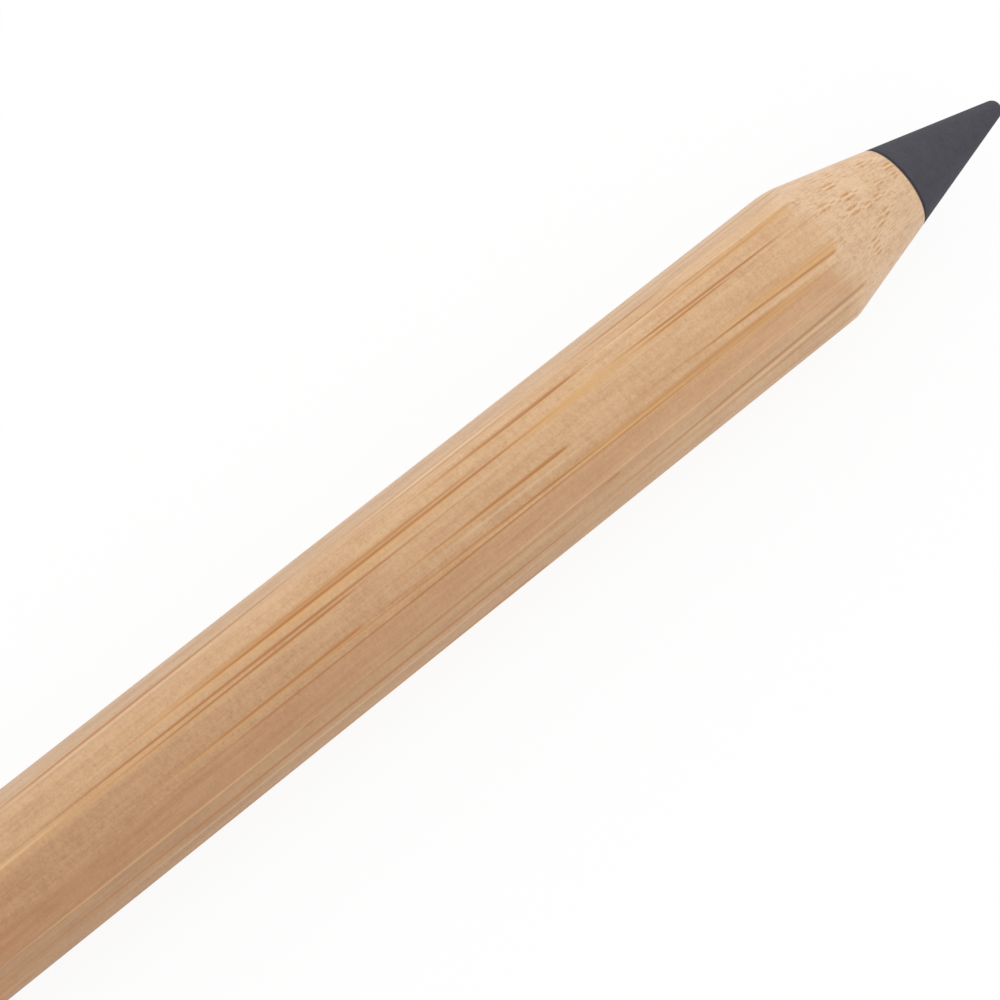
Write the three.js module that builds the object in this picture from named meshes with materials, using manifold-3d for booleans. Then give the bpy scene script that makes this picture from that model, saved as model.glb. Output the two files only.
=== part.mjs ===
// Inkless pencil: a hexagonal bamboo barrel, sharpened at one end, with a graphite nib that screws into it.
// Sizes are in millimetres. The pencil lies on one flat of its barrel: +X towards the nib, z = 0 at the table.

import * as THREE from 'three';
import Module from 'manifold-3d';
import { mergeVertices } from 'three/addons/utils/BufferGeometryUtils.js';

// Barrel section: a hexagon with crowned sides and softened edges
const ACROSS_FLATS = 8.0;
const SIDE_FLAT_WIDTH = 1.0;
const SIDE_CROWN_RADIUS = 4.7;
const EDGE_ROUNDING = 0.4;

// Barrel length and ends
const BARREL_LENGTH = 167.1;
const END_CHAMFER = 0.25;

// Sharpened end: barrel and nib share one cone
const TAPER_HALF_ANGLE = THREE.MathUtils.degToRad(15);
const SEAM_DIAMETER = 5.1;
const NIB_TIP_RADIUS = 0.56;

// Screw between nib and barrel
const THREAD_DIAMETER = 2.5;
const THREAD_PITCH = 0.45;
const THREAD_TURNS = 12;
const THREAD_CLEARANCE = 0.05;
const STUD_DEPTH_IN_NIB = 3.0;
const STUD_END_CHAMFER = 0.3;
const STUD_END_ROOM = 1.0;
const DRILL_POINT_HALF_ANGLE = THREE.MathUtils.degToRad(59);

// Knurled insert, glued into the barrel
const INSERT_DIAMETER = 3.8;
const INSERT_LENGTH = 6.4;
const INSERT_RECESS = 0.2;
const INSERT_CHAMFER = 0.25;
const KNURL_DEPTH = 0.14;
const KNURL_TEETH = 30;
const GLUE_GROOVE_WIDTH = 1.1;
const GLUE_GROOVE_DEPTH = 0.3;
const GLUE_GAP = 0.05;

// Facets on round faces, and how far a cutting solid runs past the face that it cuts
const ROUND_FACETS = 96;
const ARC_STEPS = 3;
const CUT_OVERRUN = 1.0;

// Stations along the pencil, measured on the barrel's own axis
const seamRadius = SEAM_DIAMETER / 2;
const nibConeLength = seamRadius / Math.tan(TAPER_HALF_ANGLE);
const nibLength = nibConeLength - NIB_TIP_RADIUS / Math.sin(TAPER_HALF_ANGLE) + NIB_TIP_RADIUS;
const rearX = -(BARREL_LENGTH + nibLength) / 2;
const seamX = rearX + BARREL_LENGTH;
const axisHeight = ACROSS_FLATS / 2;
const threadRadius = THREAD_DIAMETER / 2;
const threadBoreRadius = threadRadius + THREAD_CLEARANCE;
const threadReach = THREAD_PITCH * THREAD_TURNS;
const insertFrontX = seamX - INSERT_RECESS;
const insertRearX = insertFrontX - INSERT_LENGTH;
const studRearX = seamX - threadReach;

const wasm = await Module();
wasm.setup();

// A closed three.js geometry as a manifold solid
function toSolid(geometry) {
  const plain = geometry.clone();
  plain.deleteAttribute('normal');
  plain.deleteAttribute('uv');
  const merged = mergeVertices(plain, 1e-5);
  return new wasm.Manifold(new wasm.Mesh({
    numProp: 3,
    vertProperties: new Float32Array(merged.attributes.position.array),
    triVerts: new Uint32Array(merged.index.array),
  }));
}

// A manifold solid as a three.js geometry
function toGeometry(solid) {
  const mesh = solid.getMesh();
  const geometry = new THREE.BufferGeometry();
  geometry.setAttribute('position', new THREE.BufferAttribute(new Float32Array(mesh.vertProperties), 3));
  geometry.setIndex(new THREE.BufferAttribute(new Uint32Array(mesh.triVerts), 1));
  geometry.computeVertexNormals();
  return geometry;
}

// A solid of revolution about the pencil's axis, from a profile of [station, radius] points
function revolved(profile) {
  const points = profile.map(([station, radius]) => new THREE.Vector2(radius, station));
  const geometry = new THREE.LatheGeometry(points, ROUND_FACETS);
  geometry.rotateZ(-Math.PI / 2);
  return toSolid(geometry);
}

// A flat outline, drawn with its x axis pointing down, as a prism along the pencil's axis
function extruded(outline, fromX, toX) {
  const settings = { depth: toX - fromX, bevelEnabled: false, curveSegments: ARC_STEPS };
  const geometry = new THREE.ExtrudeGeometry(outline, settings);
  geometry.rotateY(Math.PI / 2);
  geometry.translate(fromX, 0, 0);
  return toSolid(geometry);
}

// Point at a distance along one direction, in the plane of the section
function polar(distance, angle) {
  return new THREE.Vector2(distance * Math.cos(angle), distance * Math.sin(angle));
}

// One side of the barrel is a flat, a crown that falls away on both sides of it, and half of each softened edge.
// The edge's arc lies inside the crown's arc and touches it, which sets the edge's centre and the crown's sweep.
function sideOfBarrel() {
  const crownCentre = new THREE.Vector2(ACROSS_FLATS / 2 - SIDE_CROWN_RADIUS, SIDE_FLAT_WIDTH / 2);
  const towardsEdge = polar(1, Math.PI / 6);
  const along = crownCentre.dot(towardsEdge);
  const aside = crownCentre.lengthSq() - along * along;
  const reach = SIDE_CROWN_RADIUS - EDGE_ROUNDING;
  const edgeCentreDistance = along + Math.sqrt(reach * reach - aside);
  const edgeCentre = towardsEdge.multiplyScalar(edgeCentreDistance);
  const crownSweep = edgeCentre.sub(crownCentre).angle();
  return { crownCentre, crownSweep, edgeCentreDistance };
}

// Distance from the barrel's axis to the top of a softened edge
function edgeRadius() {
  return sideOfBarrel().edgeCentreDistance + EDGE_ROUNDING;
}

// The barrel's whole section, side by side round the axis
function barrelOutline() {
  const { crownCentre, crownSweep, edgeCentreDistance } = sideOfBarrel();
  const sideAngle = Math.PI / 3;
  const outline = new THREE.Shape();
  for (let side = 0; side < 6; side += 1) {
    const facing = side * sideAngle;
    const nextFacing = facing + sideAngle;
    const axis = new THREE.Vector2();
    const before = new THREE.Vector2(crownCentre.x, -crownCentre.y).rotateAround(axis, facing);
    const after = crownCentre.clone().rotateAround(axis, facing);
    const edge = polar(edgeCentreDistance, facing + sideAngle / 2);
    outline.absarc(before.x, before.y, SIDE_CROWN_RADIUS, facing - crownSweep, facing);
    outline.absarc(after.x, after.y, SIDE_CROWN_RADIUS, facing, facing + crownSweep);
    outline.absarc(edge.x, edge.y, EDGE_ROUNDING, facing + crownSweep, nextFacing - crownSweep);
  }
  return outline;
}

// What the sharpener and the end cutter leave of the barrel: a chamfered rear end and a cone at the front
function barrelEnvelope() {
  const clearRadius = edgeRadius() + CUT_OVERRUN;
  const rearRadius = ACROSS_FLATS / 2 - END_CHAMFER;
  const coneLength = (clearRadius - seamRadius) / Math.tan(TAPER_HALF_ANGLE);
  return revolved([
    [rearX, 0],
    [rearX, rearRadius],
    [rearX + clearRadius - rearRadius, clearRadius],
    [seamX - coneLength, clearRadius],
    [seamX, seamRadius],
    [seamX, 0],
  ]);
}

// The hole in the sharpened end: a seat for the insert, then room for the stud's end and the drill's point
function barrelBore() {
  const seatRadius = INSERT_DIAMETER / 2 + GLUE_GAP;
  const endRoomX = Math.min(insertRearX, studRearX) - STUD_END_ROOM;
  const drillPoint = threadBoreRadius / Math.tan(DRILL_POINT_HALF_ANGLE);
  return revolved([
    [endRoomX - drillPoint, 0],
    [endRoomX, threadBoreRadius],
    [insertRearX, threadBoreRadius],
    [insertRearX, seatRadius],
    [seamX + CUT_OVERRUN, seatRadius],
    [seamX + CUT_OVERRUN, 0],
  ]);
}

function barrelGeometry() {
  const prism = extruded(barrelOutline(), rearX - CUT_OVERRUN, seamX + CUT_OVERRUN);
  return toGeometry(prism.intersect(barrelEnvelope()).subtract(barrelBore()));
}

// Straight knurling: one tooth tip and one root for each tooth, round the insert
function knurlOutline() {
  const tipRadius = INSERT_DIAMETER / 2;
  const points = [];
  for (let tooth = 0; tooth < KNURL_TEETH; tooth += 1) {
    const angle = (tooth / KNURL_TEETH) * Math.PI * 2;
    points.push(polar(tipRadius, angle));
    points.push(polar(tipRadius - KNURL_DEPTH, angle + Math.PI / KNURL_TEETH));
  }
  return new THREE.Shape(points);
}

// The insert's turned shape: chamfered ends, and a groove between two knurled bands that the glue fills
function insertEnvelope() {
  const outerRadius = INSERT_DIAMETER / 2;
  const endRadius = outerRadius - INSERT_CHAMFER;
  const clearRadius = outerRadius + CUT_OVERRUN;
  const chamferReach = clearRadius - endRadius;
  const grooveRadius = outerRadius - GLUE_GROOVE_DEPTH;
  const grooveMiddle = (insertRearX + insertFrontX) / 2;
  const grooveRear = grooveMiddle - GLUE_GROOVE_WIDTH / 2;
  const grooveFront = grooveMiddle + GLUE_GROOVE_WIDTH / 2;
  return revolved([
    [insertRearX, 0],
    [insertRearX, endRadius],
    [insertRearX + chamferReach, clearRadius],
    [grooveRear, clearRadius],
    [grooveRear, grooveRadius],
    [grooveFront, grooveRadius],
    [grooveFront, clearRadius],
    [insertFrontX - chamferReach, clearRadius],
    [insertFrontX, endRadius],
    [insertFrontX, 0],
  ]);
}

function insertGeometry() {
  const blank = extruded(knurlOutline(), insertRearX - CUT_OVERRUN, insertFrontX + CUT_OVERRUN);
  const threadBore = revolved([
    [insertRearX - CUT_OVERRUN, 0],
    [insertRearX - CUT_OVERRUN, threadBoreRadius],
    [insertFrontX + CUT_OVERRUN, threadBoreRadius],
    [insertFrontX + CUT_OVERRUN, 0],
  ]);
  return toGeometry(blank.intersect(insertEnvelope()).subtract(threadBore));
}

// A headless stud, chamfered at both ends, one end bonded into the nib
function studGeometry() {
  const frontX = seamX + STUD_DEPTH_IN_NIB;
  const endRadius = threadRadius - STUD_END_CHAMFER;
  return toGeometry(revolved([
    [studRearX, 0],
    [studRearX, endRadius],
    [studRearX + STUD_END_CHAMFER, threadRadius],
    [frontX - STUD_END_CHAMFER, threadRadius],
    [frontX, endRadius],
    [frontX, 0],
  ]));
}

// The nib's profile: flat base, cone, and a rounded writing tip that runs smoothly out of the cone
function nibProfile() {
  const tipCentreX = seamX + nibLength - NIB_TIP_RADIUS;
  const tipSteps = ARC_STEPS * 4;
  const profile = [[seamX, 0], [seamX, seamRadius]];
  for (let step = 0; step < tipSteps; step += 1) {
    const lean = TAPER_HALF_ANGLE + (step / tipSteps) * (Math.PI / 2 - TAPER_HALF_ANGLE);
    profile.push([tipCentreX + NIB_TIP_RADIUS * Math.sin(lean), NIB_TIP_RADIUS * Math.cos(lean)]);
  }
  profile.push([tipCentreX + NIB_TIP_RADIUS, 0]);
  return profile;
}

// The nib with the socket that holds the stud, drilled to the stud's end face
function nibGeometry() {
  const socketEndX = seamX + STUD_DEPTH_IN_NIB;
  const socket = revolved([
    [seamX - CUT_OVERRUN, 0],
    [seamX - CUT_OVERRUN, threadBoreRadius],
    [socketEndX, threadBoreRadius],
    [socketEndX + threadBoreRadius / Math.tan(DRILL_POINT_HALF_ANGLE), 0],
  ]);
  return toGeometry(revolved(nibProfile()).subtract(socket));
}

function material(colour, roughness, metalness) {
  return new THREE.MeshStandardMaterial({ color: colour, roughness, metalness });
}

function part(name, geometry, look) {
  const mesh = new THREE.Mesh(geometry, look);
  mesh.name = name;
  return mesh;
}

const pencil = new THREE.Group();
pencil.position.z = axisHeight;
pencil.add(part('barrel', barrelGeometry(), material(0xd0a478, 0.62, 0)));
pencil.add(part('threaded_insert', insertGeometry(), material(0xb8944a, 0.35, 1)));
pencil.add(part('nib_stud', studGeometry(), material(0xa8aaad, 0.35, 1)));
pencil.add(part('nib', nibGeometry(), material(0x504f55, 0.55, 0.2)));

export default pencil;
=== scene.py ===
"""Inkless pencil: a hexagonal bamboo pencil whose graphite nib screws into its sharpened end."""

import functools
import math

import bmesh
import bpy
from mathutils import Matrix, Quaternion, Vector


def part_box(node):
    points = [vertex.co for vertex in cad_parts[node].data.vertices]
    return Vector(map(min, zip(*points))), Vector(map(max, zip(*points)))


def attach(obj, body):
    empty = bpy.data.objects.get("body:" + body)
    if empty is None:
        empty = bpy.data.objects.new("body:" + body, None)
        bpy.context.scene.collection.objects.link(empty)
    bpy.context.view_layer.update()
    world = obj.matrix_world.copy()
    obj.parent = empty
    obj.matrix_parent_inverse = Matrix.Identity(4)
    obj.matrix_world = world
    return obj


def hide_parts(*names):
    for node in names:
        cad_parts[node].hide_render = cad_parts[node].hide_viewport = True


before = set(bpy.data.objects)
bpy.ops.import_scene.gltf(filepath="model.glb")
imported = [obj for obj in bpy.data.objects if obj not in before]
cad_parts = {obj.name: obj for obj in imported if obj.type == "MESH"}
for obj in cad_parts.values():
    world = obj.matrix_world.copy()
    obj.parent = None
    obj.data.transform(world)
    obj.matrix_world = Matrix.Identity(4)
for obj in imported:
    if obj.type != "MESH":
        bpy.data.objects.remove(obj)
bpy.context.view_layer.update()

bl_info = {
    "name": "Inkless pencil",
    "version": (1, 0, 0),
    "blender": (4, 5, 0),
    "location": "3D View > Sidebar > Pencil",
    "description": "Builds a bamboo pencil with a screw-in graphite nib, its finishes and a plain studio",
    "category": "Add Mesh",
}

MM = 0.001

# Places and sizes that the CAD parts in model.glb give
BARREL_LOW, BARREL_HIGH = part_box("barrel")
NIB_LOW, NIB_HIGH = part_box("nib")
STUD_LOW, STUD_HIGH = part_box("nib_stud")
INSERT_LOW, INSERT_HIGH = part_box("threaded_insert")
REAR_X = BARREL_LOW.x
SEAM_X = BARREL_HIGH.x
TIP_X = NIB_HIGH.x
AXIS_HEIGHT = (BARREL_LOW.z + BARREL_HIGH.z) / 2
HALF_ACROSS_FLATS = (BARREL_HIGH.z - BARREL_LOW.z) / 2
SEAM_RADIUS = (NIB_HIGH.z - NIB_LOW.z) / 2
THREAD_RADIUS = (STUD_HIGH.z - STUD_LOW.z) / 2
INSERT_RADIUS = (INSERT_HIGH.z - INSERT_LOW.z) / 2


ColourProperty = functools.partial(
    bpy.props.FloatVectorProperty, subtype="COLOR", size=4, min=0.0, max=1.0,
)
LengthProperty = functools.partial(bpy.props.FloatProperty, unit="LENGTH")
AngleProperty = functools.partial(bpy.props.FloatProperty, unit="ROTATION")


class PencilBarrelSettings(bpy.types.PropertyGroup):
    """Shape and colours of the bamboo barrel"""

    side_flat: LengthProperty(
        name="Side flat",
        description="Width of the flat strip in the middle of each side",
        default=1.0 * MM,
    )
    crown_radius: LengthProperty(
        name="Crown radius",
        description="Radius at which each side falls away beside its flat strip",
        default=4.7 * MM,
    )
    edge_rounding: LengthProperty(
        name="Edge rounding",
        description="Radius of the six long edges",
        default=0.4 * MM,
    )
    end_chamfer: LengthProperty(
        name="End chamfer",
        description="How far the rear face stays inside the sides",
        default=0.25 * MM,
    )
    taper: AngleProperty(
        name="Taper",
        description="Half angle of the sharpened cone",
        default=math.radians(15),
    )
    shoulder_softness: LengthProperty(
        name="Shoulder softness",
        description="Reach of the rounding where the sides meet the cone",
        default=0.3 * MM,
    )
    pale_bamboo: ColourProperty(
        name="Pale bamboo",
        description="Soft tissue between the fibre bundles",
        default=(0.745, 0.485, 0.268, 1.0),
    )
    deep_bamboo: ColourProperty(
        name="Deep bamboo",
        description="Denser and browner tissue",
        default=(0.530, 0.280, 0.130, 1.0),
    )
    # Darkens the tissue towards the rear; towards -Y, the side away from the lamp, it is painted shade
    rear_and_shade_tint: ColourProperty(
        name="Outer tint",
        description="Tint of the denser bamboo towards the outside of the cane, multiplied with the tissue",
        default=(0.700, 0.612, 0.548, 1.0),
    )
    # Painted shade: makes the side at -Y, which faces away from the lamp, darker and redder
    near_side_shade_tint: ColourProperty(
        name="Side tint",
        description="Tint of the redder bamboo of the upper side at -Y, multiplied with the tissue",
        default=(0.965, 0.900, 0.880, 1.0),
    )
    # Painted reflection: the greyer, bluer veil that the white surroundings give that side where it is seen
    # at a grazing angle
    edge_reflection_tint: ColourProperty(
        name="Edge tint",
        description="Tint of that side towards its lower edge, multiplied with the tissue",
        default=(0.930, 0.945, 1.000, 1.0),
    )
    # Makes the side at +Y greyer
    far_tint: ColourProperty(
        name="Far tint",
        description="Tint of the greyer bamboo of the upper side at +Y, multiplied with the tissue",
        default=(0.937, 0.958, 1.000, 1.0),
    )
    # Pale lines beside the streaks of the sides, and the painted highlight beside the cut vessels
    pale_line_and_highlight: ColourProperty(
        name="Sheath pale",
        description="Pale fibre sheaths: round the cut vessels, and beside the streaks of the sides",
        default=(0.820, 0.600, 0.390, 1.0),
    )
    cut_bamboo: ColourProperty(
        name="Cut bamboo",
        description="Tissue on the sharpened cone and the rear face, cut across the grain",
        default=(0.785, 0.538, 0.338, 1.0),
    )
    fibre_brown: ColourProperty(
        name="Fibre brown",
        description="Dark lines of the fibre bundles",
        default=(0.460, 0.185, 0.052, 1.0),
    )
    fibre_gold: ColourProperty(
        name="Fibre gold",
        description="Yellow sides of the fibre bundles",
        default=(0.710, 0.400, 0.145, 1.0),
    )
    cut_deep: ColourProperty(
        name="Cut deep",
        description="Darkest tissue on the sharpened cone and the rear face",
        default=(0.560, 0.335, 0.185, 1.0),
    )
    vessel_orange: ColourProperty(
        name="Vessel orange",
        description="Vessels that the cone and the rear face cut across",
        default=(0.560, 0.262, 0.086, 1.0),
    )
    # Painted shadow: the dark hairline in the gap where the cone meets the nib
    seam_shadow: ColourProperty(
        name="Seam brown",
        description="Burnished rim of the cone at the nib",
        default=(0.090, 0.045, 0.020, 1.0),
    )


class PencilNibSettings(bpy.types.PropertyGroup):
    """Shape and colour of the graphite nib"""

    tip_radius: LengthProperty(
        name="Tip radius",
        description="Rounding of the writing tip",
        default=0.56 * MM,
    )
    base_softness: LengthProperty(
        name="Base softness",
        description="Reach of the rounding at the nib's base",
        default=0.03 * MM,
    )
    graphite: ColourProperty(
        name="Graphite",
        description="Colour of the nib's graphite compound",
        default=(0.079, 0.077, 0.0915, 1.0),
    )


class PencilScrewSettings(bpy.types.PropertyGroup):
    """The thread between nib and barrel, and the knurled insert"""

    pitch: LengthProperty(
        name="Pitch",
        description="Travel of the nib in one turn",
        default=0.45 * MM,
    )
    thread_depth: LengthProperty(
        name="Thread depth",
        description="Height of the thread from root to crest",
        default=0.26 * MM,
    )
    clearance: LengthProperty(
        name="Clearance",
        description="Play all round between the stud's thread and the insert's",
        default=0.05 * MM,
    )
    end_chamfer: LengthProperty(
        name="Stud chamfer",
        description="Chamfer at both ends of the stud",
        default=0.3 * MM,
    )
    end_room: LengthProperty(
        name="End room",
        description="Depth of the hole beyond the insert and the stud",
        default=1.0 * MM,
    )
    drill_half_angle: AngleProperty(
        name="Drill half angle",
        description="Half angle of the cone at the bottom of each drilled hole",
        default=math.radians(59),
    )
    glue_gap: LengthProperty(
        name="Glue gap",
        description="Room for glue round the insert",
        default=0.05 * MM,
    )
    knurl_teeth: bpy.props.IntProperty(
        name="Knurl teeth",
        description="Teeth of the insert's straight knurling",
        default=30,
    )
    knurl_depth: LengthProperty(
        name="Knurl depth",
        description="Depth of the knurling",
        default=0.14 * MM,
    )
    groove_width: LengthProperty(
        name="Groove width",
        description="Width of the glue groove round the insert's middle",
        default=1.1 * MM,
    )
    groove_depth: LengthProperty(
        name="Groove depth",
        description="Depth of the glue groove",
        default=0.3 * MM,
    )
    insert_chamfer: LengthProperty(
        name="Insert chamfer",
        description="Chamfer at both ends of the insert",
        default=0.25 * MM,
    )


class PencilStageSettings(bpy.types.PropertyGroup):
    """Camera, lamp, surroundings and floor"""

    aim: bpy.props.FloatVectorProperty(
        name="Aim",
        description="Point of the floor at the middle of the picture",
        default=(52.92 * MM, 1.0 * MM, 0.0),
        unit="LENGTH",
        size=3,
    )
    distance: LengthProperty(
        name="Distance",
        description="From the camera to the point that it aims at",
        default=132.63 * MM,
    )
    azimuth: AngleProperty(
        name="Azimuth",
        description="Where the camera stands round the pencil, from the -Y side",
        default=math.radians(-41.09),
    )
    elevation: AngleProperty(
        name="Elevation",
        description="Height of the camera above the floor, as an angle",
        default=math.radians(71.92),
    )
    roll: AngleProperty(
        name="Roll",
        description="Turn of the camera about its line of sight",
        default=math.radians(1.25),
    )
    lens: bpy.props.FloatProperty(
        name="Lens",
        description="Focal length in millimetres on a 36 mm sensor",
        default=89.53,
    )
    sky: bpy.props.FloatProperty(
        name="Sky",
        description="Strength of the white surroundings",
        default=0.93,
    )
    key_power: bpy.props.FloatProperty(
        name="Key lamp",
        description="Power of the large soft lamp",
        default=0.28,
        subtype="POWER",
    )
    shadow_share: bpy.props.FloatProperty(
        name="Shadow share",
        description="How much of the floor's shadow the white background keeps",
        default=0.12,
        subtype="FACTOR",
    )
    floor_glow: bpy.props.FloatProperty(
        name="Floor glow",
        description="White that the camera sees in the rest, so that the lit floor comes out plain white",
        default=1.02,
    )


# Shapes

SIDES = 6
SIDE_ANGLE = math.tau / SIDES

# How strongly the barrel's lengthwise lines crowd together at its edges, 1 being not at all
EDGE_CROWDING = 1.6

# Rings along the barrel's side, its cone, the nib's cone and the nib's rounded tip
SIDE_RINGS = 54
CONE_RINGS = 9
NIB_RINGS = 14
TIP_RINGS = 14

# Rings in each turn of the thread
STUD_RINGS_PER_TURN = 10
INSERT_RINGS_PER_TURN = 8

# The thread's section: how steeply its flanks rise, and how much of that its rounded root takes off
FLANK_SLOPE = 1.6
ROOT_CUT = 0.35

# Radius at which the point of a drilled hole closes
HOLE_POINT_RADIUS = 0.02 * MM


def polar(station, radius, angle):
    """A point at a station along the pencil, at an angle about its axis from +Z towards +Y."""
    return Vector((station, radius * math.sin(angle), AXIS_HEIGHT + radius * math.cos(angle)))


def angle_of(point):
    """A point's angle about the pencil's axis, from +Z towards +Y."""
    return math.atan2(point.y, point.z - AXIS_HEIGHT)


def softened(corners, steps=4):
    """A run of (station, radius, reach) corners as points, each corner rounded over its reach."""
    run = [Vector(corners[0][:2])]
    for before, corner, after in zip(corners, corners[1:], corners[2:]):
        point = Vector(corner[:2])
        if not corner[2]:
            run.append(point)
            continue
        start = point + (Vector(before[:2]) - point).normalized() * corner[2]
        end = point + (Vector(after[:2]) - point).normalized() * corner[2]
        for step in range(steps + 1):
            share = step / steps
            run.append(start.lerp(point, share).lerp(point.lerp(end, share), share))
    run.append(Vector(corners[-1][:2]))
    return run


def between(first, last, count):
    """Evenly spaced corners strictly between two corners, with no rounding."""
    start, end = Vector(first[:2]), Vector(last[:2])
    return [(*start.lerp(end, step / (count + 1)), 0.0) for step in range(1, count + 1)]


def start_ring(name, columns, turned_angle):
    """A circle round the pencil's axis in edit mode, its points moved round by turned_angle."""
    bpy.ops.object.select_all(action="DESELECT")
    bpy.ops.mesh.primitive_circle_add(
        vertices=columns, radius=SEAM_RADIUS, fill_type="NOTHING",
        location=(0.0, 0.0, AXIS_HEIGHT), rotation=(0.0, math.pi / 2, 0.0),
    )
    bpy.ops.object.transform_apply(location=True, rotation=True, scale=True)
    piece = bpy.context.object
    piece.name = name
    piece.data.name = name
    bpy.ops.object.mode_set(mode="EDIT")
    cage = bmesh.from_edit_mesh(piece.data)
    for vertex in cage.verts:
        vertex.co = polar(0.0, SEAM_RADIUS, turned_angle(angle_of(vertex.co)))
    return piece


def select_open_ends():
    bpy.ops.mesh.select_all(action="DESELECT")
    bpy.ops.mesh.select_non_manifold()


def close_with_pole():
    """Closes the selected ring with triangles that meet at its middle."""
    bpy.ops.mesh.extrude_edges_move()
    bpy.ops.mesh.merge(type="CENTER")


def loft(name, columns, profile_at, joined=False, turned_angle=lambda angle: angle):
    """Extrudes a ring along the profile that each angle has, then closes both ends or joins them."""
    piece = start_ring(name, columns, turned_angle)
    profile = functools.cache(profile_at)
    for ring in range(len(profile(0.0))):
        if ring:
            bpy.ops.mesh.extrude_edges_move()
        cage = bmesh.from_edit_mesh(piece.data)
        for vertex in cage.verts:
            if vertex.select:
                angle = angle_of(vertex.co)
                # Rounded, so that the points of one column share the profile of one angle
                station, radius = profile(round(angle, 4))[ring]
                vertex.co = polar(station, radius, angle)
    if joined:
        select_open_ends()
        bpy.ops.mesh.bridge_edge_loops()
    else:
        close_with_pole()
        select_open_ends()
        close_with_pole()
    bpy.ops.mesh.select_all(action="SELECT")
    bpy.ops.mesh.normals_make_consistent(inside=False)
    bpy.ops.object.mode_set(mode="OBJECT")
    return piece


def finish_piece(piece, body, node, look, smooth_angle):
    """Smooths a piece, gives it its finish, and puts it on its body in place of its CAD node, which it
    hides.
    """
    bpy.ops.object.select_all(action="DESELECT")
    piece.select_set(True)
    bpy.context.view_layer.objects.active = piece
    bpy.ops.object.shade_smooth_by_angle(angle=smooth_angle)
    piece.data.materials.clear()
    piece.data.materials.append(look)
    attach(piece, body)
    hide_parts(node)


def angle_from_side(angle):
    """The angle from the middle of the nearest side, never negative."""
    return abs((angle + SIDE_ANGLE / 2) % SIDE_ANGLE - SIDE_ANGLE / 2)


def distance_along_ray(lean, centre, radius):
    """How far a ray from the axis runs to the far side of a circle."""
    along = centre.dot(Vector((math.cos(lean), math.sin(lean))))
    return along + math.sqrt(radius ** 2 - centre.length_squared + along ** 2)


def barrel_radius(angle, settings):
    """Distance from the axis to the barrel's side: flat in the middle, then crown, then softened edge."""
    half_flat = settings.side_flat / 2
    crown = Vector((HALF_ACROSS_FLATS - settings.crown_radius, half_flat))
    towards_edge = Vector((math.cos(SIDE_ANGLE / 2), math.sin(SIDE_ANGLE / 2)))
    reach = settings.crown_radius - settings.edge_rounding
    edge = towards_edge * distance_along_ray(SIDE_ANGLE / 2, crown, reach)
    touch = crown + (edge - crown).normalized() * settings.crown_radius
    lean = angle_from_side(angle)
    if lean <= math.atan2(half_flat, HALF_ACROSS_FLATS):
        return HALF_ACROSS_FLATS / math.cos(lean)
    if lean <= math.atan2(touch.y, touch.x):
        return distance_along_ray(lean, crown, settings.crown_radius)
    return distance_along_ray(lean, edge, settings.edge_rounding)


def crowd_towards_edges(angle):
    """Moves evenly spaced angles closer together at the barrel's edges, where the section turns fastest."""
    lean = angle_from_side(angle)
    half = SIDE_ANGLE / 2
    crowded = half * (1 - (1 - min(lean / half, 1.0)) ** EDGE_CROWDING)
    side = round(angle / SIDE_ANGLE) * SIDE_ANGLE
    return side + math.copysign(crowded, angle - side)


def barrel_profile(angle, barrel, screw):
    """From the rear face over the side, shoulder and cone, and down the hole in the sharpened end."""
    radius = barrel_radius(angle, barrel)
    rear_radius = HALF_ACROSS_FLATS - barrel.end_chamfer
    soft_end = 0.08 * MM
    soft_seam = 0.04 * MM
    rear_edge = (REAR_X + radius - rear_radius, radius, soft_end)
    shoulder = (SEAM_X - (radius - SEAM_RADIUS) / math.tan(barrel.taper), radius, barrel.shoulder_softness)
    seam = (SEAM_X, SEAM_RADIUS, soft_seam)
    bore_radius = INSERT_RADIUS + screw.glue_gap
    end_radius = THREAD_RADIUS + screw.clearance
    end_x = min(INSERT_LOW.x, STUD_LOW.x) - screw.end_room
    point_x = end_x - (end_radius - HOLE_POINT_RADIUS) / math.tan(screw.drill_half_angle)
    return softened([
        (REAR_X, rear_radius / 2, 0.0),
        (REAR_X, rear_radius, soft_end),
        rear_edge,
        *between(rear_edge, shoulder, SIDE_RINGS),
        shoulder,
        *between(shoulder, seam, CONE_RINGS),
        seam,
        (SEAM_X, bore_radius, soft_seam),
        (INSERT_LOW.x, bore_radius, 0.0),
        (INSERT_LOW.x, end_radius, 0.0),
        (end_x, end_radius, 0.0),
        (point_x, HOLE_POINT_RADIUS, 0.0),
    ])


def thread_height(station, angle, pitch):
    """Height of a right-hand thread at a place, from 0 at its root to 1 at its crest."""
    phase = (station / pitch + angle / math.tau) % 1.0
    rise = 1.0 - abs(2.0 * phase - 1.0)
    return min(max(rise * FLANK_SLOPE - ROOT_CUT, 0.0), 1.0)


def thread_run(low_x, high_x, rings_per_turn, root, angle, screw):
    """A thread's stations and radii from end to end, with how far each is from the nearer end."""
    rings = round((high_x - low_x) / screw.pitch * rings_per_turn)
    for ring in range(rings + 1):
        station = low_x + (high_x - low_x) * ring / rings
        radius = root + screw.thread_depth * thread_height(station, angle, screw.pitch)
        yield station, radius, min(station - low_x, high_x - station)


def stud_profile(angle, screw):
    """The stud from end to end, threaded all along and chamfered at both ends."""
    root = THREAD_RADIUS - screw.thread_depth
    end_radius = THREAD_RADIUS - screw.end_chamfer
    thread = thread_run(STUD_LOW.x, STUD_HIGH.x, STUD_RINGS_PER_TURN, root, angle, screw)
    return [Vector((station, min(radius, end_radius + to_end))) for station, radius, to_end in thread]


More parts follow.
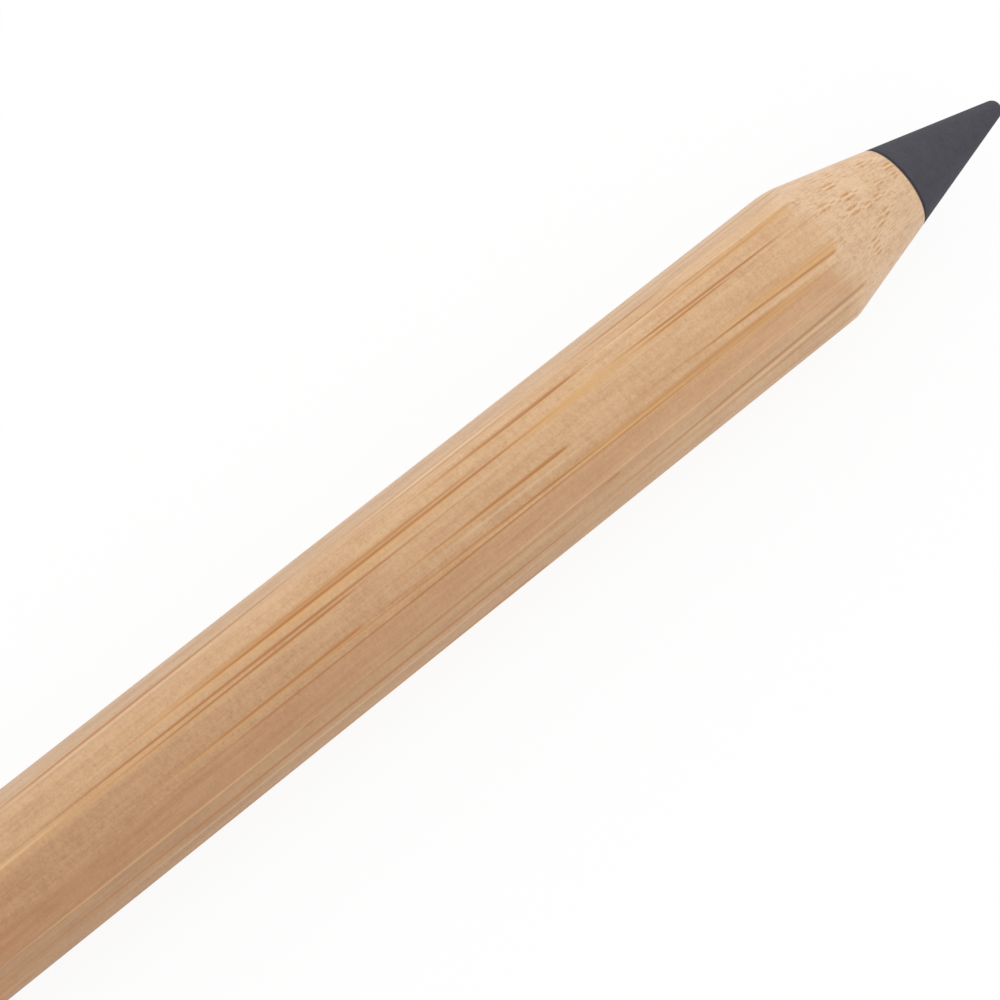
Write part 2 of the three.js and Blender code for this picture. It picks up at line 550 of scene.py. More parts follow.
def insert_profile(angle, screw):
    """The insert's front face, knurled outside, rear face and threaded bore, back to where it starts."""
    tooth = angle * screw.knurl_teeth / math.tau % 1.0
    knurl = INSERT_RADIUS - screw.knurl_depth * (1.0 - abs(2.0 * tooth - 1.0))
    end_radius = INSERT_RADIUS - screw.insert_chamfer
    groove_radius = INSERT_RADIUS - screw.groove_depth
    middle = (INSERT_LOW.x + INSERT_HIGH.x) / 2
    groove_rear = middle - screw.groove_width / 2
    groove_front = middle + screw.groove_width / 2
    groove_wall = 0.02 * MM
    outside = (
        (INSERT_HIGH.x, min(end_radius, knurl)),
        (INSERT_HIGH.x - screw.insert_chamfer, knurl),
        (groove_front + groove_wall, knurl),
        (groove_front, groove_radius),
        (groove_rear, groove_radius),
        (groove_rear - groove_wall, knurl),
        (INSERT_LOW.x + screw.insert_chamfer, knurl),
        (INSERT_LOW.x, min(end_radius, knurl)),
    )
    root = THREAD_RADIUS - screw.thread_depth + screw.clearance
    mouth = THREAD_RADIUS + screw.clearance
    thread = thread_run(INSERT_LOW.x, INSERT_HIGH.x, INSERT_RINGS_PER_TURN, root, angle, screw)
    bore = ((station, max(radius, mouth - to_end)) for station, radius, to_end in thread)
    return [Vector(place) for place in (*outside, *bore)]


def nib_profile(nib, barrel, screw):
    """From the rounded tip down the cone, over the base and into the stud's socket."""
    centre_x = TIP_X - nib.tip_radius
    seam = (SEAM_X, SEAM_RADIUS, nib.base_softness)
    socket_radius = THREAD_RADIUS + screw.clearance
    point_x = STUD_HIGH.x + (socket_radius - HOLE_POINT_RADIUS) / math.tan(screw.drill_half_angle)
    tip = []
    for ring in range(1, TIP_RINGS + 1):
        lean = math.pi / 2 - (math.pi / 2 - barrel.taper) * ring / TIP_RINGS
        tip.append((centre_x + nib.tip_radius * math.sin(lean), nib.tip_radius * math.cos(lean), 0.0))
    return softened([
        *tip,
        *between(tip[-1], seam, NIB_RINGS),
        seam,
        (SEAM_X, socket_radius, 0.0),
        (STUD_HIGH.x, socket_radius, 0.0),
        (point_x, HOLE_POINT_RADIUS, 0.0),
    ])


# Shader nodes

class Value:
    """What a node puts out. Arithmetic with it adds the node for each step to the same graph."""

    def __init__(self, graph, socket):
        self.graph = graph
        self.socket = socket

    def __add__(self, other):
        return self.graph.step("ADD", self, other)

    def __sub__(self, other):
        return self.graph.step("SUBTRACT", self, other)

    def __rsub__(self, other):
        return self.graph.step("SUBTRACT", other, self)

    def __mul__(self, other):
        return self.graph.step("MULTIPLY", self, other)

    def __truediv__(self, other):
        return self.graph.step("DIVIDE", self, other)

    def __abs__(self):
        return self.graph.step("ABSOLUTE", self)

    def at_least(self, other):
        return self.graph.step("MAXIMUM", self, other)

    def at_most(self, other):
        return self.graph.step("MINIMUM", self, other)

    def dot(self, other):
        return self.graph.step("DOT_PRODUCT", self, other)

    def length(self):
        return self.graph.step("LENGTH", self)

    def parts(self):
        """A vector's three numbers."""
        return self.graph.add("ShaderNodeSeparateXYZ", {"Vector": self}).values()

    def ramp(self, start, end):
        """A smooth step that is 0 at start and 1 at end."""
        inputs = {"Value": self, "From Min": start, "From Max": end, "To Min": 0.0, "To Max": 1.0}
        return self.graph.only("ShaderNodeMapRange", inputs, interpolation_type="SMOOTHSTEP")

    def clamped(self):
        """The same number, kept between 0 and 1 by the node that works it out."""
        self.socket.node.use_clamp = True
        return self


class NodeGraph:
    """Adds nodes to a node tree, with inputs given as plain numbers or as values."""

    def __init__(self, tree):
        self.tree = tree

    def feed(self, socket, value):
        if isinstance(value, Value):
            self.tree.links.new(value.socket, socket)
        else:
            socket.default_value = value

    def add(self, kind, inputs, **settings):
        """Adds a node, its inputs given by name or number, and returns the values it puts out by name."""
        node = self.tree.nodes.new(kind)
        for name, value in settings.items():
            setattr(node, name, value)
        in_use = [socket for socket in node.inputs if socket.enabled]
        named = {socket.name: socket for socket in in_use}
        for key, value in inputs.items():
            self.feed(named[key] if key in named else in_use[key], value)
        return {socket.name: Value(self, socket) for socket in node.outputs if socket.enabled}

    def only(self, kind, inputs, **settings):
        """Adds a node that puts out a single value."""
        (value,) = self.add(kind, inputs, **settings).values()
        return value

    def step(self, operation, *operands):
        """One step of arithmetic, on vectors where an operand is one."""
        numbers = all(not isinstance(value, Value) or value.socket.type == "VALUE" for value in operands)
        kind = "ShaderNodeMath" if numbers else "ShaderNodeVectorMath"
        return self.only(kind, dict(enumerate(operands)), operation=operation)

    def vector(self, x, y, z=0.0):
        return self.only("ShaderNodeCombineXYZ", {"X": x, "Y": y, "Z": z})

    def noise(self, vector, detail=2.0, roughness=0.5):
        inputs = {"Vector": vector, "Scale": 1.0, "Detail": detail, "Roughness": roughness}
        return self.add("ShaderNodeTexNoise", inputs)

    def cells(self, place, randomness):
        """Cells scattered over a plane, each with its own middle and chance colour."""
        inputs = {"Vector": place, "Scale": 1.0, "Randomness": randomness}
        return self.add("ShaderNodeTexVoronoi", inputs, voronoi_dimensions="2D", feature="F1")

    def mix(self, amount, first, second, blend="MIX"):
        inputs = {"Factor": amount, "A": first, "B": second}
        return self.only("ShaderNodeMix", inputs, data_type="RGBA", blend_type=blend)

    def group(self, tree, inputs):
        return self.add("ShaderNodeGroup", inputs, node_tree=tree)

    def mix_shaders(self, amount, first, second):
        return self.only("ShaderNodeMixShader", {0: amount, 1: first, 2: second})


class GroupBuild(NodeGraph):
    """A node group in the making: its named inputs as values, and a way to put out its results."""

    def __init__(self, name, vectors, numbers, results):
        super().__init__(bpy.data.node_groups.new(name, "ShaderNodeTree"))
        for label in vectors:
            self.tree.interface.new_socket(label, in_out="INPUT", socket_type="NodeSocketVector")
        for label in numbers:
            self.tree.interface.new_socket(label, in_out="INPUT", socket_type="NodeSocketFloat")
        for label in results:
            self.tree.interface.new_socket(label, in_out="OUTPUT", socket_type="NodeSocketFloat")
        self.inputs = self.add("NodeGroupInput", {})

    def put_out(self, results):
        """Feeds the group's outputs and returns the finished group."""
        self.add("NodeGroupOutput", results)
        return self.tree


class MaterialBuild:
    """A material with its shader, its node graph, and the pencil's own coordinates in millimetres."""

    def __init__(self, name):
        self.material = bpy.data.materials.new(name)
        self.material.use_nodes = True
        tree = self.material.node_tree
        self.graph = NodeGraph(tree)
        self.shader = tree.nodes["Principled BSDF"]
        self.millimetres = self.graph.only("ShaderNodeMapping", {
            "Vector": self.graph.add("ShaderNodeTexCoord", {})["Object"],
            "Location": (0.0, 0.0, -AXIS_HEIGHT / MM),
            "Scale": (1 / MM, 1 / MM, 1 / MM),
        })

    def feed(self, name, value):
        """Sets or links one of the shader's inputs."""
        self.graph.feed(self.shader.inputs[name], value)

    def grain(self, stretch):
        """The fine grain with its own stretch along and across the pencil."""
        inputs = {"Millimetres": self.millimetres, "Stretch": stretch}
        return self.graph.group(fine_grain_group(), inputs)["Speckle"]

    def bump(self, height, strength, distance):
        inputs = {"Height": height, "Strength": strength, "Distance": distance}
        self.feed("Normal", self.graph.only("ShaderNodeBump", inputs))


# Millimetres that a fibre bundle is shifted by where it crosses one drawn before it
UNSEEN_SHIFT = 0.001


@functools.cache
def fine_grain_group():
    """Speckle of a given stretch, centred on 0: the small unevenness of every finish on the pencil."""
    group = GroupBuild("fine_grain", ("Millimetres", "Stretch"), (), ("Speckle",))
    stretched = group.inputs["Millimetres"] * group.inputs["Stretch"]
    speckle = group.noise(stretched, detail=3.0, roughness=0.6)["Fac"]
    return group.put_out({"Speckle": speckle - 0.5})


@functools.cache
def fibre_streak_group():
    """One fibre bundle that a side cuts lengthwise: a soft brown spindle with a golden glow beside it.

    It is laid over the bundles drawn so far and starts from them, shifted by far less than can be seen,
    so that they are worked out one after another: a shader has no room for them all side by side.
    """
    group = GroupBuild("fibre_streak", (), (
        "Along", "Around", "Start", "Length", "Thickest", "Start around", "Drift", "Width",
        "Brown", "Gold", "Brown so far", "Gold so far",
    ), ("Brown", "Gold"))
    source = group.inputs
    along = group.step("MULTIPLY_ADD", source["Brown so far"], UNSEEN_SHIFT, source["Along"])
    share = (along - source["Start"]) / source["Length"]
    rise = share / source["Thickest"]
    after_thickest = 1.0 - source["Thickest"]
    fall = (1.0 - share) / after_thickest
    swell = rise.at_most(fall).at_least(0.0)
    offset = source["Around"] - (source["Drift"] * share + source["Start around"])
    core_width = source["Width"] * (swell * 0.18 + 0.17)
    core = (abs(offset) / core_width).ramp(1.0, 0.0) * swell.ramp(0.0, 0.70)
    beside = abs(offset + source["Width"] * 0.15)
    glow_width = source["Width"] * (swell * 0.35 + 0.25)
    glow = (beside / glow_width).ramp(1.0, 0.0) * swell.ramp(0.0, 0.5)
    return group.put_out({
        "Brown": (core * source["Brown"]).at_least(source["Brown so far"]),
        "Gold": (glow * source["Gold"]).at_least(source["Gold so far"]),
    })


@functools.cache
def chance_streaks_group():
    """Fibre streaks scattered along and around the sides, each with its own length, width and colour."""
    numbers = ("Along", "Around", "Spacing along", "Spacing around", "Width")
    group = GroupBuild("chance_streaks", (), numbers, ("Brown", "Gold"))
    source = group.inputs
    along = source["Along"] / source["Spacing along"]
    around = source["Around"] / source["Spacing around"]
    spread = group.vector(along, around)
    cells = group.cells(spread, 0.9)
    along_cell, around_cell, _ = (spread - cells["Position"]).parts()
    colour_chance, width_chance, gold_chance = cells["Color"].parts()
    marks = group.group(fibre_streak_group(), {
        "Along": along_cell * source["Spacing along"],
        "Around": around_cell * source["Spacing around"],
        "Start": source["Spacing along"] * -0.45,
        "Length": source["Spacing along"] * 0.9,
        "Thickest": colour_chance * 0.6 + 0.2,
        "Start around": 0.0,
        "Drift": (gold_chance - 0.5) * 0.3,
        "Width": source["Width"] * (width_chance + 0.35),
        "Brown": colour_chance.ramp(0.1, 0.9),
        "Gold": gold_chance.ramp(0.2, 1.0),
    })
    return group.put_out(marks)


@functools.cache
def cut_bundle_group():
    """A fibre bundle cut across: two wide vessels side by side, two narrow ones, and a painted highlight
    beside them, for the lit rim of the pores.

    It is laid over the bundles drawn so far and starts from them, as a fibre streak does.
    """
    vectors = ("Place", "Middle", "Sideways", "Outwards")
    numbers = ("Size", "Strength", "Vessels so far", "Pore highlight so far")
    group = GroupBuild("cut_bundle", vectors, numbers, ("Vessels", "Pore highlight"))
    source = group.inputs
    shift = source["Vessels so far"] * UNSEEN_SHIFT
    offset = source["Place"] + group.vector(shift, shift, shift) - source["Middle"]
    sideways = offset.dot(source["Sideways"]) / source["Size"]
    outwards = offset.dot(source["Outwards"]) / source["Size"]
    place = group.vector(abs(sideways) * 1.2, outwards)
    wide = (place - (0.18, 0.0, 0.0)).length()
    inner = (place - (0.0, -0.15, 0.0)).length()
    outer = (place - (0.0, 0.17, 0.0)).length()
    narrow = inner.at_most(outer).ramp(0.09, 0.01)
    vessels = wide.ramp(0.16, 0.03).at_least(narrow * 0.8)
    # Painted highlight: a pale patch just beside the vessels, for the lit rim of each pore
    pore_highlight = (place - (0.04, -0.05, 0.0)).length().ramp(0.30, 0.12)
    return group.put_out({
        "Vessels": (vessels * source["Strength"]).at_least(source["Vessels so far"]),
        "Pore highlight": (pore_highlight * source["Strength"]).at_least(source["Pore highlight so far"]),
    })


@functools.cache
def chance_bundles_group():
    """Fibre bundles scattered over the bamboo's cross section, swaying a little along it."""
    group = GroupBuild("chance_bundles", ("Millimetres",), ("Spacing",), ("Vessels", "Pore highlight"))
    place = group.inputs["Millimetres"]
    slow = group.noise(place * (0.12, 0.35, 0.35), detail=1.0)["Color"]
    sway = slow - (0.5, 0.5, 0.5)
    _, y, z = (place + sway).parts()
    spacing = group.vector(*(group.inputs["Spacing"] for axis in "xyz"))
    spread = group.vector(y, z) / spacing
    cells = group.cells(spread, 0.85)
    strength_chance, size_chance, _ = cells["Color"].parts()
    marks = group.group(cut_bundle_group(), {
        "Place": (spread - cells["Position"]) * spacing,
        "Sideways": (1.0, 0.0, 0.0),
        "Outwards": (0.0, 1.0, 0.0),
        "Size": size_chance * 0.4 + 0.7,
        "Strength": strength_chance.ramp(-0.2, 0.8),
    })
    return group.put_out(marks)


# Fibre bundles that the sides cut lengthwise, in millimetres along the pencil and degrees round it from
# the top: start, end, how far along it is thickest, angle at the start and the end, width, brown, gold
FIBRE_STREAKS = (
    (19.0, 45.0, 0.45, 38.5, 45.0, 0.52, 1.00, 0.10),
    (42.0, 60.0, 0.50, 39.8, 36.5, 0.50, 0.00, 0.35),
    (57.0, 66.0, 0.70, 42.4, 40.2, 0.52, 1.00, 0.50),
    (14.0, 60.0, 0.45, 62.2, 61.0, 0.40, 0.50, 0.00),
    (58.0, 67.0, 0.50, 61.7, 61.0, 0.34, 0.60, 0.00),
    (70.5, 80.0, 0.35, 45.6, 46.4, 0.34, 0.50, 0.10),
    (42.0, 57.0, 0.50, 44.6, 43.4, 0.26, 0.50, 0.00),
    (42.0, 58.0, 0.50, 37.8, 36.7, 0.28, 0.45, 0.10),
    (46.0, 59.6, 0.78, 27.0, 26.0, 0.46, 1.00, 0.60),
    (60.0, 71.0, 0.40, 28.0, 29.0, 0.30, 0.50, 0.10),
    (60.0, 80.0, 0.60, 27.3, 27.0, 0.60, 0.15, 0.85),
    (63.0, 74.0, 0.50, 25.6, 24.8, 0.30, 0.55, 0.00),
    (71.0, 80.0, 0.70, 27.8, 27.6, 0.36, 0.65, 0.00),
    (30.0, 54.5, 0.60, 17.2, 15.5, 0.36, 0.70, 0.00),
    (25.0, 59.0, 0.55, 14.3, 12.4, 0.48, 1.00, 0.00),
    (27.0, 53.0, 0.60, 16.3, 14.6, 1.00, 0.45, 1.00),
    (51.0, 69.0, 0.45, 14.6, 12.0, 0.85, 0.00, 0.80),
    (58.0, 74.0, 0.60, 15.2, 10.9, 0.38, 0.90, 0.00),
    (60.0, 69.5, 0.60, 10.9, 9.8, 0.34, 0.70, 0.00),
    (19.0, 54.0, 0.50, 5.4, 3.6, 0.40, 0.95, 0.10),
    (8.0, 40.0, 0.40, 1.8, 2.8, 0.60, 0.00, 0.60),
    (24.0, 43.6, 0.85, 0.0, 1.0, 0.40, 0.90, 0.30),
    (43.0, 56.0, 0.92, -12.0, -13.2, 0.44, 1.00, 0.75),
    (56.0, 81.0, 0.70, -15.5, -26.2, 0.38, 0.80, 0.20),
    (62.0, 84.0, 0.60, -15.4, -19.0, 0.85, 0.25, 0.95),
    (27.0, 42.2, 0.93, -22.4, -22.3, 0.46, 1.00, 0.70),
    (42.5, 49.0, 0.30, -22.4, -23.4, 0.28, 0.50, 0.00),
    (36.0, 62.0, 0.55, -23.6, -28.8, 0.36, 0.75, 0.50),
    (51.0, 72.8, 0.66, -25.9, -28.2, 0.80, 0.45, 1.00),
    (22.0, 82.0, 0.40, -30.4, -30.4, 0.24, 0.70, 0.00),
    (16.0, 40.0, 0.50, -54.0, -55.4, 0.40, 0.35, 0.40),
    (36.3, 37.6, 0.50, -57.6, -57.6, 0.40, 0.90, 0.00),
    (35.0, 58.0, 0.50, -57.6, -56.2, 0.36, 0.60, 0.20),
    (55.6, 57.4, 0.80, -55.9, -55.5, 0.34, 0.90, 0.00),
    (8.0, 60.0, 0.70, -69.1, -70.4, 0.46, 0.80, 0.15),
    (50.0, 84.0, 0.62, -71.5, -57.9, 0.44, 0.72, 0.15),
    (60.0, 76.0, 0.60, -73.2, -70.4, 0.34, 0.45, 0.00),
    (62.0, 80.0, 0.50, -83.9, -83.9, 0.30, 0.45, 0.00),
    (24.0, 60.0, 0.50, -61.0, -60.0, 0.60, 0.00, 0.30),
)

# Pale lines beside them: start, end, how far along it is thickest, angle at the start and the end, width,
# strength
PALE_LINES = (
    (20.0, 40.0, 0.50, 34.8, 39.0, 0.28, 0.50),
    (42.0, 57.0, 0.60, 39.5, 41.3, 0.34, 0.75),
    (44.0, 56.0, 0.50, 42.0, 43.4, 0.24, 0.50),
    (58.0, 68.0, 0.50, 27.4, 26.2, 0.30, 0.70),
    (64.0, 76.0, 0.60, 29.8, 29.0, 0.26, 0.40),
    (12.0, 26.0, 0.60, 0.6, 1.8, 0.42, 0.60),
    (56.0, 80.0, 0.70, -23.7, -26.6, 0.34, 0.30),
    (46.0, 58.0, 0.50, -18.0, -20.0, 0.26, 0.35),
    (14.0, 42.0, 0.50, -55.8, -56.6, 0.36, 0.32),
    (38.0, 82.0, 0.55, -55.4, -47.5, 0.34, 0.34),
    (20.0, 56.0, 0.50, -77.0, -75.9, 0.50, 0.30),
    (56.0, 84.0, 0.60, -72.0, -62.8, 0.46, 0.50),
)

# Fibre bundles that the cone cuts across: millimetres along the pencil, degrees round it from the top,
# size, strength
CUT_BUNDLES = (
    (75.41, 40.8, 0.90, 0.80), (76.36, 37.9, 0.80, 0.80), (75.72, 23.9, 1.00, 1.00),
    (77.67, 44.4, 0.80, 0.70), (78.22, 30.8, 1.00, 0.90), (78.66, 26.1, 0.70, 0.70),
    (79.22, 11.2, 0.90, 0.90), (79.10, -2.5, 0.70, 0.70), (76.04, 5.7, 1.00, 1.00),
    (74.50, 8.2, 1.00, 0.90), (75.72, -7.4, 1.10, 1.00), (76.65, -11.5, 0.80, 0.90),
    (77.35, -10.9, 0.80, 0.80), (78.02, 0.7, 0.80, 0.70), (77.22, -26.6, 0.90, 0.90),
    (76.65, -30.4, 0.90, 0.90), (75.72, -40.0, 0.90, 0.80), (75.65, -48.8, 0.80, 0.80),
    (76.31, -59.4, 0.80, 0.70), (77.15, -45.2, 0.60, 0.50), (77.45, -62.4, 0.70, 0.50),
    (74.04, -21.2, 0.70, 0.40), (77.15, -73.0, 0.80, 0.50), (74.60, 31.0, 0.70, 0.50),
)


def placed_streaks(graph, x, around, rows):
    """Fibre streaks at given places, drawn one over another: their brown and gold marks."""
    per_degree = math.radians(HALF_ACROSS_FLATS / MM)
    brown, gold = 0.0, 0.0
    for start, end, thickest, start_angle, end_angle, width, browns, golds in rows:
        marks = graph.group(fibre_streak_group(), {
            "Along": x, "Around": around, "Start": start, "Length": end - start, "Thickest": thickest,
            "Start around": start_angle * per_degree, "Drift": (end_angle - start_angle) * per_degree,
            "Width": width, "Brown": browns, "Gold": golds, "Brown so far": brown, "Gold so far": gold,
        })
        brown, gold = marks["Brown"], marks["Gold"]
    return brown, gold


def placed_bundles(graph, across, taper_slope):
    """Fibre bundles that the cone cuts at given places, one over another: their vessels and the painted
    highlights beside them.
    """
    vessels, pore_highlight = 0.0, 0.0
    for along, degrees, size, strength in CUT_BUNDLES:
        turn = math.radians(degrees)
        reach = (SEAM_RADIUS + (SEAM_X - along * MM) * taper_slope) / MM
        marks = graph.group(cut_bundle_group(), {
            "Place": across,
            "Middle": (0.0, reach * math.sin(turn), reach * math.cos(turn)),
            "Sideways": (0.0, math.cos(turn), -math.sin(turn)),
            "Outwards": (0.0, math.sin(turn), math.cos(turn)),
            "Size": size, "Strength": strength, "Vessels so far": vessels, "Pore highlight so far": pore_highlight,
        })
        vessels, pore_highlight = marks["Vessels"], marks["Pore highlight"]
    return vessels, pore_highlight


def bamboo(settings):
    """Bamboo: pale soft tissue with fibre bundles, cut lengthwise on the sides and across on the cone.

    Lengths are in millimetres, and angles in radians round the pencil from its top.
    """
    look = MaterialBuild("bamboo")
    graph, place = look.graph, look.millimetres
    rear, seam = REAR_X / MM, SEAM_X / MM
    x, y, z = place.parts()
    across = graph.vector(0.0, y, z)
    angle = graph.step("ARCTAN2", y, z)
    around = angle * (HALF_ACROSS_FLATS / MM)

    # Where the surface is a side of the barrel, and where it is the cone or the rear face
    taper_slope = math.tan(settings.taper)
    cone = x * -taper_slope + (SEAM_RADIUS / MM + seam * taper_slope)
    under_cone = cone - across.length()
    on_rear = x.ramp(rear + 0.02, rear)
    streaked = (under_cone.ramp(0.0, 0.10) - on_rear).clamped()
    on_side = (under_cone.ramp(-0.02, 0.40) - on_rear).clamped()

    long_grain = look.grain((0.07, 3.0, 3.0))
    hair_grain = look.grain((0.12, 10.0, 10.0))
    cross_grain = look.grain((4.0, 1.7, 1.7))
    cells = look.grain((6.5, 8.0, 8.0))
    cloud = look.grain((0.35, 1.6, 1.6))

    # The fibre bundles' marks: placed on the front of the three upper sides, left to chance elsewhere
    elsewhere = 1.0 - abs(angle + 0.25).ramp(1.25, 1.05) * x.ramp(14.0, 22.0)
    brown, gold = placed_streaks(graph, x, around, FIBRE_STREAKS)
    pale, _ = placed_streaks(graph, x, around, [(*line, 0.0) for line in PALE_LINES])
    chance = graph.group(chance_streaks_group(), {
        "Along": x, "Around": around, "Spacing along": 26.0, "Spacing around": 1.3, "Width": 0.55,
    })
    brown = brown.at_least(chance["Brown"] * elsewhere)
    gold = gold.at_least(chance["Gold"] * elsewhere)
    brown = (brown * (hair_grain * 2.4 + 1.1) * streaked).clamped()
    gold = (gold * (hair_grain * 3.0 + 0.65) * streaked).clamped()
    vessels, pore_highlight = placed_bundles(graph, across, taper_slope)
    chance = graph.group(chance_bundles_group(), {"Millimetres": place, "Spacing": 0.95})
    vessels = vessels.at_least(chance["Vessels"] * elsewhere)
    pore_highlight = pore_highlight.at_least(chance["Pore highlight"] * elsewhere)
    unstreaked = 1.0 - streaked
    vessels = (vessels * (cells * 2.2 + 0.9) * unstreaked).clamped()

    # The tissue between them: darker towards the rear, with painted shade towards -Y, the side away from
    # the lamp, and tinted differently from side to side
    shade = x.ramp(88.0, 12.0) * x.ramp(-60.0, -10.0) * (y.ramp(1.2, -1.0) * 0.58 + 0.42)
    # Where the side at -Y takes its painted shade, and towards its lower edge a painted reflection
    near_side = angle.ramp(-0.50, -0.56) * angle.ramp(-1.74, -1.60) * on_side
    far_side = angle.ramp(0.62, 0.95) * angle.ramp(1.74, 1.60)
    upper_side = abs(angle).ramp(0.62, 0.50)
    mottle = cells + cross_grain * 0.8 + cells.ramp(0.12, 0.32) * 0.5
    mottle = mottle * (upper_side * 0.4 + 0.65)
    tone = long_grain * 0.9 + cloud * 0.9 + hair_grain * 0.6 + mottle + 0.25
    tone = tone.clamped()
    # Painted shade on the side at -Y, giving way towards its lower edge to a painted reflection
    shade_and_reflection_tint = graph.mix(angle.ramp(-0.90, -1.05), settings.near_side_shade_tint, settings.edge_reflection_tint)
    colour = graph.mix(tone, settings.pale_bamboo, settings.deep_bamboo)
    # Painted shade towards -Y, and darker towards the rear
    colour = graph.mix(shade, colour, settings.rear_and_shade_tint, blend="MULTIPLY")
    colour = graph.mix(near_side, colour, shade_and_reflection_tint, blend="MULTIPLY")
    colour = graph.mix(far_side, colour, settings.far_tint, blend="MULTIPLY")
    cut_tone = (tone + hair_grain * 1.6 + mottle * 0.25).clamped()
    cut_colour = graph.mix(cut_tone, settings.cut_bamboo, settings.cut_deep)

    # All of it, one over another, from the tissue to the painted shadow in the gap at the nib
    # Painted shadow over the last tenth of a millimetre before the seam
    seam_shadow_mask = x.ramp(seam - 0.10, seam - 0.03)
    for amount, over in (
        ((1.0 - on_side) * 0.9, cut_colour),
        (pale * streaked, settings.pale_line_and_highlight),
        # Painted highlight beside the vessels that the cone and the rear face cut
        (pore_highlight * unstreaked * 0.6, settings.pale_line_and_highlight),
        (vessels, settings.vessel_orange),
        (gold, settings.fibre_gold),
        (brown, settings.fibre_brown),
        (seam_shadow_mask * 0.85, settings.seam_shadow),
    ):
        colour = graph.mix(amount, colour, over)
    look.feed("Base Color", colour)
    look.feed("Roughness", cells * 0.25 + 0.52 - gold * 0.08)
    look.bump((hair_grain + cells) * 0.25, strength=0.5, distance=0.04 * MM)
    look.feed("Specular IOR Level", 0.5)
    look.feed("Sheen Weight", 0.1)
    look.feed("Sheen Roughness", 0.4)
    return look.material


def graphite(settings):
    """Graphite compound: almost black grey, matt, with a fine sparkle, and painted shade darkening it at
    its base.
    """
    look = MaterialBuild("graphite")
    graph = look.graph
    speckle = look.grain((9.0, 9.0, 9.0))
    blotch = look.grain((1.6, 1.6, 1.6))
    dark, light = ((*(channel * share for channel in settings.graphite[:3]), 1.0) for share in (0.85, 1.2))
    colour = graph.mix((speckle * 1.4 + blotch * 1.2 + 0.5).clamped(), dark, light)
    x, _, _ = look.millimetres.parts()
    # Painted shade at the nib's base, where it meets the barrel
    base_shade = x.ramp(SEAM_X / MM + 0.20, SEAM_X / MM + 0.06) * 0.55
    look.feed("Base Color", graph.mix(base_shade, colour, (0.02, 0.018, 0.026, 1.0)))
    look.feed("Roughness", speckle * 0.3 + 0.65)
    look.bump(speckle, strength=0.25, distance=0.01 * MM)
    look.feed("Specular IOR Level", 0.04)
    return look.material


def bright_metal(name, colour, roughness):
    """Turned metal with fine scratches round it and a slight tarnish."""
    look = MaterialBuild(name)
    turning = look.grain((30.0, 0.6, 0.6))
    tarnish = look.grain((0.8, 0.8, 0.8))
    dull = tuple(channel * 0.7 for channel in colour)
    tone = (tarnish * 1.5 + 0.4).clamped()
    look.feed("Base Color", look.graph.mix(tone, (*colour, 1.0), (*dull, 1.0)))
    look.feed("Roughness", turning * 0.3 + roughness)
    look.feed("Metallic", 1.0)
    look.bump(turning, strength=0.2, distance=0.01 * MM)
    return look.material


# Studio

FLOOR_RADIUS = 3.0
FLOOR_DROP = 0.02 * MM
SENSOR_WIDTH = 36.0
WHITE = (1.0, 1.0, 1.0, 1.0)
FLOOR_WHITE = (0.86, 0.86, 0.86, 1.0)


def add_floor(stage):
    """A white floor that keeps part of the pencil's shadow, and that can be seen through from below."""
    bpy.ops.object.select_all(action="DESELECT")
    bpy.ops.mesh.primitive_circle_add(
        vertices=64, radius=FLOOR_RADIUS, fill_type="NGON", location=(0.0, 0.0, -FLOOR_DROP),
    )
    floor = bpy.context.object
    floor.name = "floor"
    look = bpy.data.materials.new("white_floor")
    look.use_nodes = True
    graph = NodeGraph(look.node_tree)
    shader = look.node_tree.nodes["Principled BSDF"]
    shader.inputs["Base Color"].default_value = FLOOR_WHITE
    shader.inputs["Roughness"].default_value = 0.9
    shader.inputs["Specular IOR Level"].default_value = 0.1
    lit = Value(graph, shader.outputs["BSDF"])
    glow = graph.only("ShaderNodeEmission", {"Color": WHITE, "Strength": stage.floor_glow})
    path = graph.add("ShaderNodeLightPath", {})
    seen = path["Is Camera Ray"].at_least(path["Is Glossy Ray"])
    from_above = graph.mix_shaders(seen * (1.0 - stage.shadow_share), lit, glow)
    clear = graph.only("ShaderNodeBsdfTransparent", {})
    from_below = graph.add("ShaderNodeNewGeometry", {})["Backfacing"]
    surface = graph.mix_shaders(from_below, from_above, clear)
    graph.feed(look.node_tree.nodes["Material Output"].inputs["Surface"], surface)
    floor.data.materials.append(look)


def add_surroundings(scene, stage):
    """White surroundings: plain white to the camera and in reflections, and the main soft light."""
    world = bpy.data.worlds.new("white_surroundings")
    world.use_nodes = True
    graph = NodeGraph(world.node_tree)
    background = world.node_tree.nodes["Background"]
    background.inputs["Color"].default_value = WHITE
    path = graph.add("ShaderNodeLightPath", {})
    seen = path["Is Camera Ray"].at_least(path["Is Glossy Ray"]).at_least(path["Is Transmission Ray"])
    graph.feed(background.inputs["Strength"], seen * (1.0 - stage.sky) + stage.sky)
    scene.world = world


def add_lamp(name, place, target, size, power):
    """A square area lamp that faces its target."""
    bpy.ops.object.light_add(type="AREA", location=place)
    lamp = bpy.context.object
    lamp.name = name
    lamp.data.size = size
    lamp.data.energy = power
    lamp.rotation_euler = (Vector(target) - Vector(place)).to_track_quat("-Z", "Y").to_euler()


